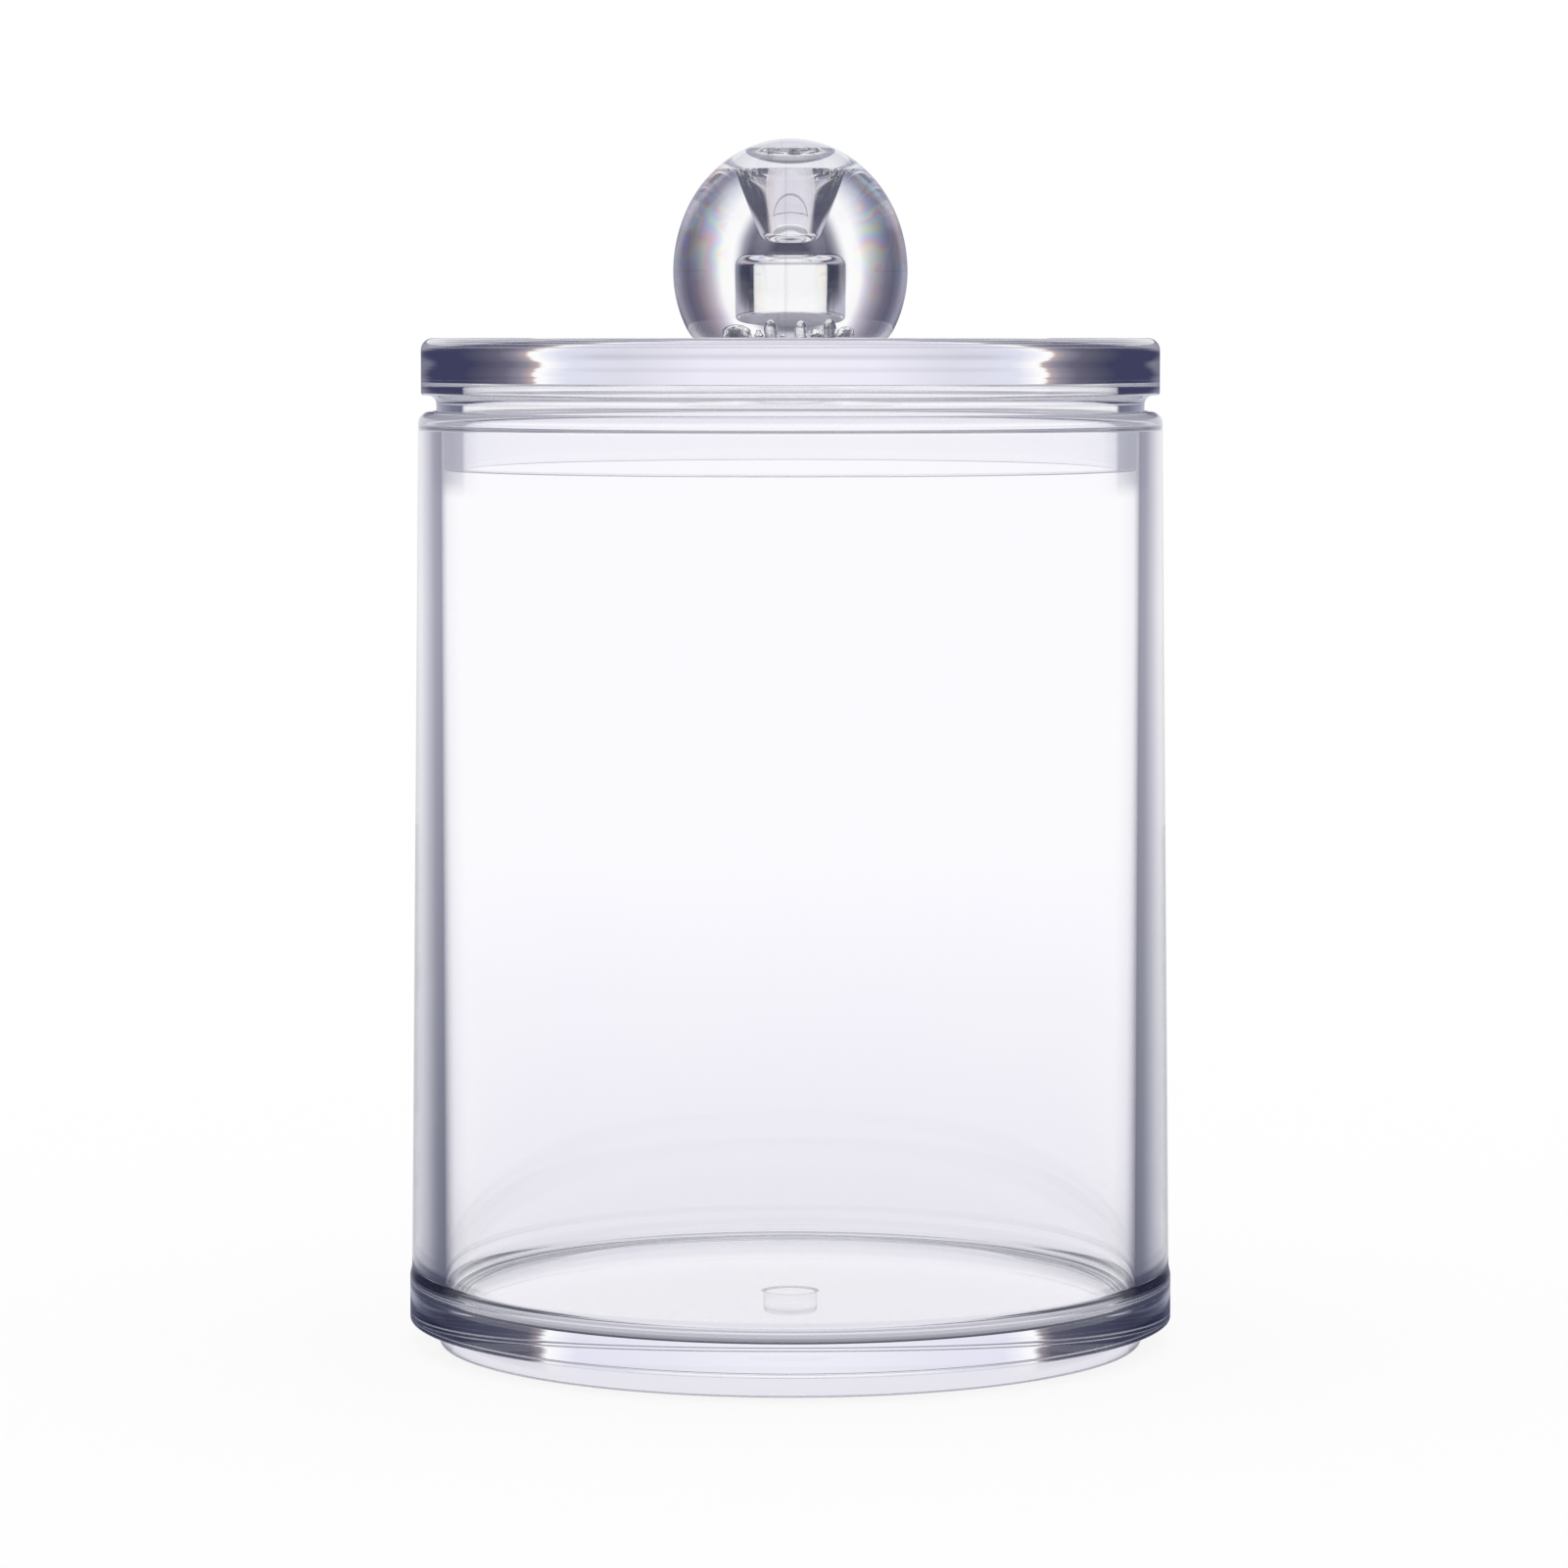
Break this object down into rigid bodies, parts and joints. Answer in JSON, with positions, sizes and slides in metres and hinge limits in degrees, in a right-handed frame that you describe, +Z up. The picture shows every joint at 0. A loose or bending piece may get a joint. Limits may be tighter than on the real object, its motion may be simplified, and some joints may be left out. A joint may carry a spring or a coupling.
{
  "type": "cotton pad holder",
  "caption": "Clear round lidded jar for cotton pads, with a lift-off plug lid, an egg-shaped knob and a stacking foot ring.",
  "frame": {"origin": "centre of the foot ring's standing face, on the jar's turning axis", "axes": "+Z up along the turning axis; the piece is turned, so X and Y are equal and the picture looks along +Y"},
  "size_m": [0.078, 0.078, 0.1226],
  "materials": {
    "jar_plastic": "clear moulded polystyrene, polished inside and out",
    "lid_plastic": "clear moulded polystyrene, polished",
    "knob_plastic": "clear thick-walled acrylic moulding, high polish"
  },
  "bodies": {
    "jar": {"jar": "jar_plastic"},
    "lid": {"lid": "lid_plastic", "knob": "knob_plastic", "knob_cap": "knob_plastic"}
  },
  "joints": [
    {"name": "lid_lift", "type": "slide", "parent": "jar", "child": "lid", "axis": [0, 0, 1], "range_m": [0, 0.04]}
  ]
}
